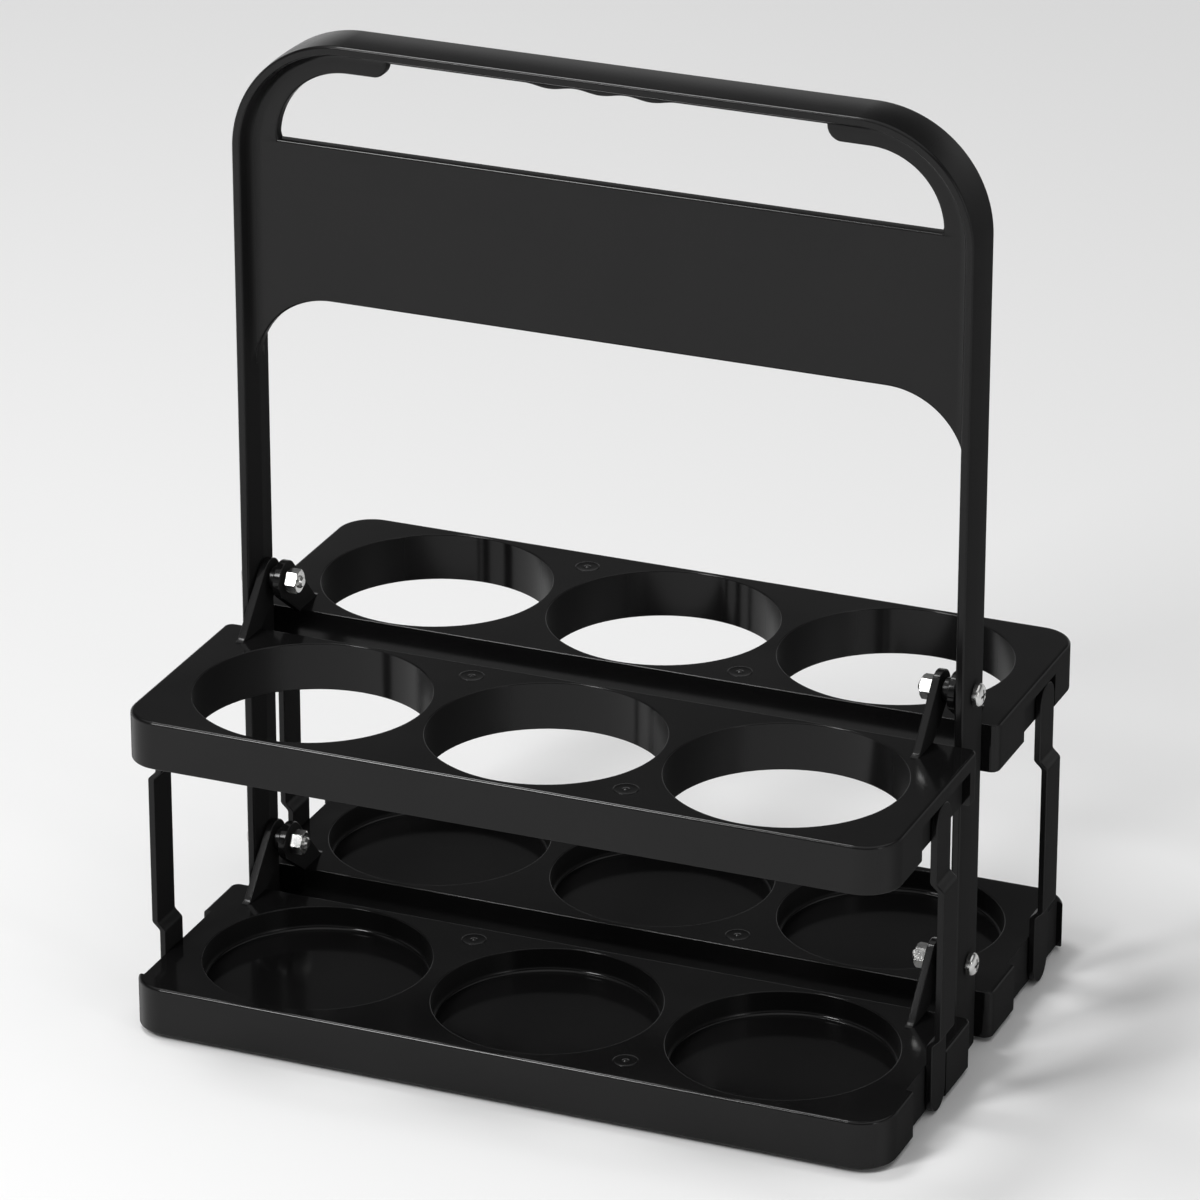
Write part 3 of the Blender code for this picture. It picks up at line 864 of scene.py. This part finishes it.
def arch(inset, steps=36):
    """The frame's outline from the fillet's foot up one post, over the grip and down the other."""
    side = HALF_WIDTH - inset
    top = FRAME_HEIGHT - inset
    radius = TOP_CORNER_R - inset
    points = [Vector((side, fillet_foot))]
    points += arc((side - radius, top - radius), radius, 0, 90, steps)
    points += arc((radius - side, top - radius), radius, 90, 180, steps)
    points.append(Vector((-side, fillet_foot)))
    return points


def web_outline():
    points = arch(FLANGE / 2)
    points += arc((-fillet_reach, fillet_foot), PANEL_FILLET_R, 180, 90, 24)[1:]
    points += arc((fillet_reach, fillet_foot), PANEL_FILLET_R, 90, 0, 24)[:-1]
    return points


web = plate("web", web_outline(), -WEB / 2, WEB / 2, (WEB_ROUND, WEB_ROUND), along="Y")
print("web:", len(web.data.polygons), "faces")

# %% [markdown]
# The hand hole is cut with a tool that flares at both faces of the web, so the edge that a hand
# meets comes out soft. The tool is a loft: the same outline again and again, each a little
# further along Y and a little wider.
# %% Loft along Y
CUTTER_BEYOND = 8 * MM


def loft(name, levels):
    """A closed solid through outlines of equal length, each given with its place along Y."""
    bm = bmesh.new()
    rings = []
    for height, outline in levels:
        rings.append([bm.verts.new((point.x, height, point.y)) for point in outline])
        if len(rings) > 1:
            join_rings(bm, rings[-2], rings[-1])
    for end in (0, -1):
        fill_face(bm, [(rings[end], levels[end][1])])
    return closed_object(name, bm)


def mirrored(rows):
    """The rows of one face of the web and then, in reverse, those of the other face."""
    return [(-height, size) for height, size in rows] + rows[::-1]


def flared_cutter(outline, depth, flare, steps=5):
    """Cuts an opening whose edges are rounded on both faces of a web of this depth."""
    places = [(depth / 2 + CUTTER_BEYOND, flare)]
    for angle in quarter_turn(steps):
        places.append((depth / 2 - flare * (1 - math.cos(angle)), flare * (1 - math.sin(angle))))
    count = len(outline)
    return loft("hand_cutter", [(y, moved_in(outline, [-wider] * count)) for y, wider in mirrored(places)])


hand_cutter = flared_cutter(hand_hole(), WEB, WEB_ROUND)
print("hand hole cutter:", len(hand_cutter.data.polygons), "faces")

# %% [markdown]
# Where the web meets the band, the mould has a cove of 3.5 mm on both faces, because plastic
# cracks at a sharp inner corner. The hollow reflects the dark, so it draws the black line inside
# the band. It is a loft too: its edge follows a quarter circle from the band's leaning side to the
# web, it reaches a little into both, and below the panel the bay's own outline trims it away.
# %% Cove between web and band
COVE = 3.5 * MM
BURIED = 0.3 * MM
COVE_START = 0.3 * FLANGE
BAY_LOW = 20 * MM
BAY_BEYOND = 5 * MM
BAY_TRIM = 0.5 * MM
BAY_HALF_DEPTH = 15 * MM


def make_cove(steps=7):
    lean = RIM_DRAFT / (FRAME_DEPTH / 2)
    start = WEB / 2 + COVE
    profile = [(start + BURIED, FLANGE - lean * start - BURIED)]
    for step in range(steps):
        angle = math.pi / 2 * (step + 0.5) / steps
        height = WEB / 2 + COVE * (1 - math.sin(angle))
        profile.append((height, FLANGE - lean * height + COVE * (1 - math.cos(angle))))
    profile.append((WEB / 2 - BURIED, FLANGE + COVE + BURIED))
    cove = loft("cove", [(y, arch(COVE_START) + arch(inset)[::-1]) for y, inset in mirrored(profile)])
    low, wide, top = fillet_foot - BAY_LOW, HALF_WIDTH + BAY_BEYOND, fillet_foot + BURIED
    radius = PANEL_FILLET_R + BAY_TRIM
    bay = [Vector((-wide, low)), Vector((wide, low)), Vector((wide, top))]
    bay += arc((fillet_reach, top), radius, 0, 90, 24)
    bay += arc((-fillet_reach, top), radius, 90, 180, 24)
    bay.append(Vector((-wide, top)))
    trim = plate("bay", bay, -BAY_HALF_DEPTH, BAY_HALF_DEPTH, along="Y")
    return combine(cove, [trim], "DIFFERENCE")


cove = make_cove()
print("cove:", len(cove.data.polygons), "faces")

# %% [markdown]
# The web is joined to the band, the hand hole is cut, the four hinge bores are drilled through
# the posts, and the frame is one moulding, as the real one is. The bores have 50 corners, because
# with 48 two of them would lie on the band's middle line, where the cut leaves slits.
# %% Join the frame
POST_BORE_STEPS = 50
combine(carrying_frame, [web], "UNION")
combine(carrying_frame, [cove], "UNION")
combine(carrying_frame, [hand_cutter], "DIFFERENCE")
bores = []
for side in (-1, 1):
    for height in (LOWER_AXIS, UPPER_AXIS):
        low, high = sorted((side * (post_inside - OVERRUN), side * (HALF_WIDTH + OVERRUN)))
        ring = circle((0, height), EYE_BORE_R, POST_BORE_STEPS)
        bores.append(plate("bore", ring, low, high, along="X"))
combine(carrying_frame, bores, "DIFFERENCE")
finished(carrying_frame, frame_plastic)
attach(carrying_frame, "carrying_frame")
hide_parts("handle_frame")
print("frame:", [round(side / MM, 1) for side in carrying_frame.dimensions], "mm")

# %% [markdown]
# ## Screw, nut and spacer
# The hinge screws are pan head screws with a cross recess, the nuts are hexagons with chamfered
# corners, and a small sleeve keeps the two arms on a screw apart. Each is turned from a profile
# once, about the X axis, and measured from the middle of its post, so that it can be repeated.
# %% Turned shapes
def turned(name, profile, steps=48):
    """A closed solid of revolution about X from (x, radius) pairs."""
    bm = bmesh.new()
    rings = []
    for x, radius in profile:
        ring = circle((0, 0), radius, steps) if radius else [Vector((0, 0))]
        rings.append([bm.verts.new((x, point.x, point.y)) for point in ring])
    for first, second in zip(rings[:-1], rings[1:]):
        if len(first) == len(second):
            join_rings(bm, first, second)
            continue
        tip, ring = (first, second) if len(first) == 1 else (second, first)
        for step in range(steps):
            bm.faces.new((tip[0], ring[step], ring[(step + 1) % steps]))
    return closed_object(name, bm)


HEAD_R = 3.7 * MM
HEAD_H = 2.8 * MM
HEAD_EDGE = 0.15 * MM
HEAD_WALL = 0.45
DOME_POWER = 0.55
TIP_SHARE = 0.66
RECESS_REACH = 2.0 * MM
RECESS_HALF = 0.45 * MM
RECESS_START = 1.1 * MM
RECESS_ROUNDS = (0.4 * MM, 0)
SCREW_TIP = 104.1 * MM
NUT_START = 105.3 * MM
NUT_H = 4.0 * MM
NUT_FLATS = 7.0 * MM
NUT_CHAMFER = 0.45 * MM
NUT_EDGE = 0.1 * MM
THREAD_GAP = 0.05 * MM
SPACER_START = 112.5 * MM
SPACER_LENGTH = 2.3 * MM
SPACER_R = 4.0 * MM
SPACER_ROUND = 0.3 * MM
SPACER_BORE_ROUND = 0.1 * MM
head_seat = HALF_WIDTH + SEAT_GAP


def make_screw(steps=12):
    profile = [(SCREW_TIP, 0), (SCREW_TIP, SCREW_R * TIP_SHARE), (SCREW_TIP + SCREW_R / 3, SCREW_R)]
    profile += [(head_seat, SCREW_R), (head_seat, HEAD_R - HEAD_EDGE), (head_seat + HEAD_EDGE, HEAD_R)]
    for angle in quarter_turn(steps)[:-1]:
        rise = HEAD_H * (HEAD_WALL + (1 - HEAD_WALL) * math.sin(angle))
        profile.append((head_seat + rise, HEAD_R * math.cos(angle) ** DOME_POWER))
    profile.append((head_seat + HEAD_H, 0))
    slots = []
    low, high = head_seat + RECESS_START, head_seat + HEAD_H + OVERRUN
    for wide, tall in ((RECESS_REACH, RECESS_HALF), (RECESS_HALF, RECESS_REACH)):
        outline = rectangle(-wide, -tall, wide, tall)
        slots.append(plate("slot", outline, low, high, RECESS_ROUNDS, along="X"))
    return combine(turned("screw", profile), slots, "DIFFERENCE")


def make_nut():
    start, end, chamfer = NUT_START, NUT_START + NUT_H, NUT_CHAMFER
    corner_r = NUT_FLATS / 2 / math.cos(math.radians(30))
    nut = plate("nut", circle((0, 0), corner_r, 6), start, end, along="X")
    cone_r = corner_r + NUT_EDGE
    wide = 2 * cone_r - NUT_FLATS / 2
    slim = NUT_FLATS - cone_r
    profile = [(start - chamfer, 0), (start - chamfer, slim), (start + 2 * chamfer, wide)]
    profile += [(end - 2 * chamfer, wide), (end + chamfer, slim), (end + chamfer, 0)]
    combine(nut, [turned("cone", profile)], "INTERSECT")
    thread = circle((0, 0), SCREW_R + THREAD_GAP, BORE_STEPS)
    bore = plate("bore", thread, start - OVERRUN, end + OVERRUN, along="X")
    return combine(nut, [bore], "DIFFERENCE")


def make_spacer():
    ring = circle((0, 0), SPACER_R, BORE_STEPS)
    bore = (circle((0, 0), EYE_BORE_R, BORE_STEPS), (SPACER_BORE_ROUND, SPACER_BORE_ROUND))
    rounds = (SPACER_ROUND, SPACER_ROUND)
    return plate("spacer", ring, SPACER_START, SPACER_START + SPACER_LENGTH, rounds, [bore], along="X")


print("head", 2 * HEAD_R / MM, "mm across, nut", NUT_FLATS / MM, "mm across its flats")

# %% [markdown]
# ## Hardware at the four corners
# The same hardware sits at both ends of both tiers, so Geometry Nodes repeat it. Four points mark
# the posts' hinge bores. A piece whose point lies at negative X is turned half round, so its
# head looks outwards there too.
# %% Geometry Nodes for the hardware
corners = bpy.data.node_groups.new("piece_at_each_point", "GeometryNodeTree")
add_socket(corners, "Geometry", "Geometry")
add_socket(corners, "Piece", "Object")
add_socket(corners, "Material", "Material")
add_socket(corners, "Geometry", "Geometry", in_out="OUTPUT")
given = corners.nodes.new("NodeGroupInput").outputs
info = add_node(corners, "GeometryNodeObjectInfo", Object=given["Piece"], As_Instance=True)
place = corners.nodes.new("GeometryNodeInputPosition").outputs["Position"]
split = add_node(corners, "ShaderNodeSeparateXYZ", Vector=place)
left = add_math(corners, "LESS_THAN", split.outputs["X"], 0.0)
turn = add_node(corners, "ShaderNodeCombineXYZ", Z=add_math(corners, "MULTIPLY", left, math.pi))
copies = add_node(corners, "GeometryNodeInstanceOnPoints", Points=given["Geometry"],
                  Instance=info.outputs["Geometry"], Rotation=turn.outputs["Vector"])
close_tree(corners, copies.outputs["Instances"], given["Material"])

# %% [markdown]
# Each kind is made once, at the right end where its sizes are measured, and moved to the middle.
# The tree then sets it on the four points.
# %% Repeat the hardware
corner_points = [(side * HALF_WIDTH, 0, height) for height in (UPPER_AXIS, LOWER_AXIS) for side in (1, -1)]
kinds = (
    ("screw", make_screw, steel, "zinc_plated_steel"),
    ("nut", make_nut, steel, "zinc_plated_steel"),
    ("spacer", make_spacer, spacer_plastic, "frame_plastic"),
)
for kind, maker, material, slot in kinds:
    source = maker()
    source.data.transform(Matrix.Translation((-HALF_WIDTH, 0, 0)))
    values = {"Piece": source, "Material": material}
    hardware = grown("hinge_" + kind + "s", corner_points, [], corners, values)
    bpy.data.objects.remove(source, do_unlink=True)
    finished(hardware, material)
    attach(hardware, "carrying_frame")
    nodes = [tier + "_" + side + "_" + kind for tier in ("upper", "lower") for side in ("right", "left")]
    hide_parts(*nodes)

# %% [markdown]
# ## Gate marks
# The molten plastic enters each tray at two points between its holes. What stays on the deck is a
# shallow round pad with a rim and a small nub where the plastic was broken off. The pad is turned
# once, stood upright, and set on two points of each tray by the tree that repeats the hardware. A
# back tray is the front one turned half round, so its two points have the opposite signs.
# %% Gate marks
GATE_PLACES = ((-38.2 * MM, -17.6 * MM), (38.2 * MM, -76.5 * MM))
GATE_RIM = ((-0.2, 0), (-0.2, 4.0), (0.04, 4.0), (0.12, 3.85), (0.12, 3.6), (0.04, 3.4))
GATE_NUB = ((0.03, 1.3), (0.12, 0.95), (0.3, 0.75), (0.42, 0.4), (0.45, 0))

# Turned from (height above the deck, radius) pairs in millimetres, then stood upright.
source = turned("gate_mark", [(rise * MM, radius * MM) for rise, radius in GATE_RIM + GATE_NUB], 36)
source.data.transform(Matrix.Rotation(math.radians(-90), 4, "Y"))
for body in trays:
    level = deck + (UPPER_AXIS if body.startswith("upper") else LOWER_AXIS)
    turn = -1 if body.endswith("back") else 1
    mark_points = [(turn * x, turn * y, level) for x, y in GATE_PLACES]
    values = {"Piece": source, "Material": tray_plastic}
    marks = grown(body + "_gate_marks", mark_points, [], corners, values)
    finished(marks, tray_plastic)
    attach(marks, body)
bpy.data.objects.remove(source, do_unlink=True)

# %% [markdown]
# ## Floor, light and camera
# The holder stands on a plain pale floor. Black plastic shows little but what it reflects, so the
# lamps and the room matter more than its colour. The floor lies a hair below the feet, so that
# its face and theirs never share a place.
# %% Floor
FLOOR_R = 6.0
FLOOR_THICKNESS = 0.02
FLOOR_GAP = 0.0002
FLOOR_COLOUR = (0.86, 0.86, 0.86, 1.0)


def make_floor():
    floor = plate("floor", circle((0, 0), FLOOR_R, 64), -FLOOR_THICKNESS, 0.0)
    material = bpy.data.materials.new("pale_floor")
    material.use_nodes = True
    shader = material.node_tree.nodes["Principled BSDF"]
    shader.inputs["Base Color"].default_value = FLOOR_COLOUR
    shader.inputs["Roughness"].default_value = 0.9
    shader.inputs["Specular IOR Level"].default_value = 0.0
    floor.data.materials.append(material)
    floor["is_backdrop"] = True
    floor.data.transform(Matrix.Translation((0, 0, -FLOOR_GAP)))
    return floor


floor = make_floor()
print("floor is", round(floor.dimensions.x, 1), "m across")

# %% [markdown]
# The lamp above stands at the left and gives the decks a soft sheen and the floor its shadow. The
# one in front draws the bright lines along the top edges, and the tall one at the right does so
# on the upright edges. The room is a colour ramp over the height of the view: pale near the
# horizon, dark from 20 to 40 degrees up, which is what the decks mirror towards the camera, and
# bright overhead, so that the floor comes out nearly white.
# %% Lamps and world
LAMPS = (
    ("lamp above", (-0.75, 0.15, 2.1), (0.6, 0.45), 12),
    ("lamp in front", (-0.58, -1.05, 1.1), (0.3, 0.5), 12),
    ("lamp at the right", (1.9, -0.9, 0.9), (0.3, 1.1), 4),
)
LAMP_TARGET = Vector((0, 0, 0.13))
ROOM = ((0.0, 0.70), (0.20, 0.55), (0.37, 0.14), (0.50, 0.04), (0.64, 0.05), (0.86, 1.0))

for name, place, size, power in LAMPS:
    lamp_data = bpy.data.lights.new(name, "AREA")
    lamp_data.shape = "RECTANGLE"
    lamp_data.size, lamp_data.size_y = size
    lamp_data.energy = power
    lamp = add_object(name, lamp_data)
    lamp.location = place
    lamp.rotation_euler = (LAMP_TARGET - Vector(place)).to_track_quat("-Z", "Y").to_euler()

world = bpy.data.worlds.new("dim grey room")
world.use_nodes = True
bpy.context.scene.world = world
tree = world.node_tree
view = tree.nodes.new("ShaderNodeTexCoord").outputs["Generated"]
split = add_node(tree, "ShaderNodeSeparateXYZ", Vector=view)
ramp = add_node(tree, "ShaderNodeValToRGB", Fac=split.outputs["Z"])
tree.links.new(ramp.outputs["Color"], tree.nodes["Background"].inputs["Color"])
for step, (rise, level) in enumerate(ROOM):
    element = ramp.color_ramp.elements[step] if step < 2 else ramp.color_ramp.elements.new(rise)
    element.position = rise
    element.color = (level, level, level, 1.0)
bpy.context.scene.view_settings.view_transform = "Standard"
print("room levels", ROOM)

# %% [markdown]
# The viewpoint was worked out from the round rims in the picture: a little to the right and
# above, about two metres away, with a long lens. The focal length was found in picture points,
# and its share of the picture's width gives the lens.
# %% Camera
CAMERA_PLACE = (0.7276, -1.7577, 0.9593)
CAMERA_VIEW = Vector((-0.34756, 0.84918, -0.39761))
CAMERA_ROLL = math.radians(-0.112)
SENSOR_WIDTH = 36.0
FOCAL_POINTS = 6649.5
PICTURE_POINTS = 1200
camera_data = bpy.data.cameras.new("camera")
camera_data.sensor_width = SENSOR_WIDTH
camera_data.lens = SENSOR_WIDTH * FOCAL_POINTS / PICTURE_POINTS
camera_data.shift_x = -0.0253
camera_data.shift_y = -0.0008
camera_data.clip_end = 50.0
camera = add_object("camera", camera_data)
camera.location = CAMERA_PLACE
roll = Matrix.Rotation(CAMERA_ROLL, 3, CAMERA_VIEW)
camera.rotation_euler = (roll @ CAMERA_VIEW.to_track_quat("-Z", "Y").to_matrix()).to_euler()
bpy.context.scene.camera = camera
print("lens", round(camera_data.lens, 1), "mm")

# %% [markdown]
# ## Size at the end
# The finer pieces must not change the holder's size, so the box round all shown pieces, floor aside, is
# printed.
# %% Sizes and finish
low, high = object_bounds()
print("visual:", [round((b - a) / MM, 2) for a, b in zip(low, high)], "mm")
